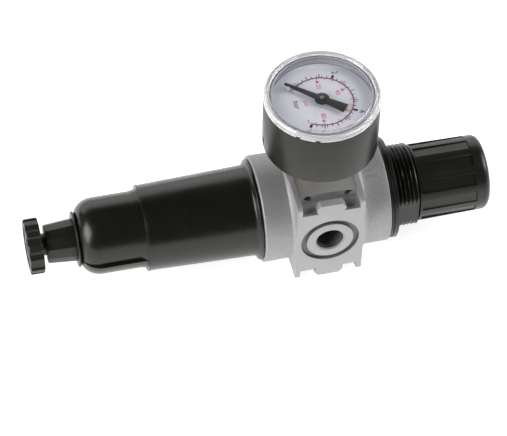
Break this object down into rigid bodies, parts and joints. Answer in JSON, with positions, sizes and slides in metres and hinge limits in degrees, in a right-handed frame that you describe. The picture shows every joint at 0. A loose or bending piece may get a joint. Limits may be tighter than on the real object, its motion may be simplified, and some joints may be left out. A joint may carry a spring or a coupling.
{
  "type": "air pressure regulator",
  "caption": "Small compressed-air filter-regulator with a black bowl and drain, grey die-cast port block, adjusting knob and round pressure gauge.",
  "frame": {"origin": "on the main axis, at the bonnet's shoulder that a panel is clamped against", "axes": "+X along the main axis from the drain to the adjusting knob; -Y out of the outlet port; +Z along the gauge's axis, towards its dial. The regulator lies on its back."},
  "size_m": [0.1695, 0.0412, 0.0773],
  "materials": {
    "cast_body": "blasted die-cast zinc, silver-grey",
    "plated_steel": "zinc-plated steel",
    "spring_steel": "spring steel",
    "seal_rubber": "nitrile rubber",
    "black_plastic": "satin black moulded plastic",
    "bowl_black": "smooth black",
    "drain_grey": "dark grey moulded plastic",
    "acetal": "natural white moulded plastic",
    "brass": "turned brass",
    "bare_aluminium": "bare",
    "porous_filter": "sintered porous plastic",
    "clear_window": "clear moulded plastic",
    "dial_white": "white printed dial",
    "pointer_black": "black painted aluminium"
  },
  "bodies": {
    "housing": {"body": "cast_body", "rear_plug": "plated_steel", "rear_plug_oring": "seal_rubber", "bonnet": "black_plastic", "thrust_washer": "acetal", "main_spring": "spring_steel", "diaphragm": "seal_rubber", "valve_spring": "spring_steel", "valve_guide": "acetal", "valve_oring": "seal_rubber", "swirl_deflector": "acetal", "filter_element": "porous_filter", "filter_retainer": "acetal", "gauge_socket": "brass", "gauge_seal": "seal_rubber", "gauge_case": "black_plastic", "gauge_window": "clear_window", "gauge_dial": "dial_white", "gauge_movement_frame": "brass", "bourdon_tube": "brass"},
    "spindle": {"adjusting_spindle": "plated_steel", "spindle_clip": "spring_steel"},
    "knob": {"adjusting_knob": "black_plastic"},
    "spring_seat": {"spring_seat": "brass"},
    "diaphragm_stack": {"diaphragm_hub": "brass", "diaphragm_plate": "bare_aluminium", "diaphragm_nut": "plated_steel"},
    "valve": {"valve_poppet": "brass", "valve_pin": "plated_steel"},
    "bowl_seal": {"bowl_oring": "seal_rubber"},
    "bowl": {"bowl": "bowl_black", "drain_washer": "drain_grey", "drain_sleeve": "drain_grey", "drain_nut": "brass"},
    "drain_stem": {"drain_stem": "brass", "drain_oring": "seal_rubber"},
    "drain_knob": {"drain_knob": "drain_grey"},
    "pointer": {"gauge_pointer": "pointer_black", "gauge_pinion": "brass"},
    "sector": {"gauge_sector": "brass"}
  },
  "joints": [
    {"name": "knob_turn", "type": "hinge", "parent": "housing", "child": "spindle", "pos_m": [0, 0, 0], "axis": [-1, 0, 0], "range_deg": [0, 2160]},
    {"name": "knob_pull", "type": "slide", "parent": "spindle", "child": "knob", "axis": [1, 0, 0], "range_m": [0, 0.003]},
    {"name": "spring_seat_travel", "type": "slide", "parent": "housing", "child": "spring_seat", "axis": [-1, 0, 0], "range_m": [0, 0.0075], "deforming": ["main_spring"]},
    {"name": "diaphragm_travel", "type": "slide", "parent": "housing", "child": "diaphragm_stack", "axis": [-1, 0, 0], "range_m": [0, 0.001], "stiffness_N_per_m": 500, "deforming": ["diaphragm"]},
    {"name": "valve_travel", "type": "slide", "parent": "housing", "child": "valve", "axis": [-1, 0, 0], "range_m": [0, 0.001], "deforming": ["valve_spring"]},
    {"name": "bowl_pull", "type": "slide", "parent": "housing", "child": "bowl_seal", "axis": [-1, 0, 0], "range_m": [0, 0.045]},
    {"name": "bowl_turn", "type": "hinge", "parent": "bowl_seal", "child": "bowl", "pos_m": [-0.045, 0, 0], "axis": [-1, 0, 0], "range_deg": [0, 45]},
    {"name": "drain_turn", "type": "hinge", "parent": "bowl", "child": "drain_knob", "pos_m": [-0.126, 0, 0], "axis": [1, 0, 0], "range_deg": [0, 540]},
    {"name": "drain_lift", "type": "slide", "parent": "bowl", "child": "drain_stem", "axis": [1, 0, 0], "range_m": [0, 0.00187]},
    {"name": "pointer_turn", "type": "hinge", "parent": "housing", "child": "pointer", "pos_m": [-0.0263, 0, 0.0534], "axis": [0, 0, -1], "range_deg": [0, 260.5], "stiffness_Nm_per_rad": 0.00002},
    {"name": "sector_turn", "type": "hinge", "parent": "housing", "child": "sector", "pos_m": [-0.0173, 0, 0.046], "axis": [0, 0, 1], "range_deg": [0, 43.42]}
  ],
  "couplings": [
    {"joint": "knob_turn", "follows": "spring_seat_travel", "rad_per_m": 5026.5},
    {"joint": "valve_travel", "follows": "diaphragm_travel", "ratio": 1},
    {"joint": "drain_turn", "follows": "drain_lift", "rad_per_m": 5026.5},
    {"joint": "sector_turn", "follows": "pointer_turn", "ratio": 0.16667}
  ]
}
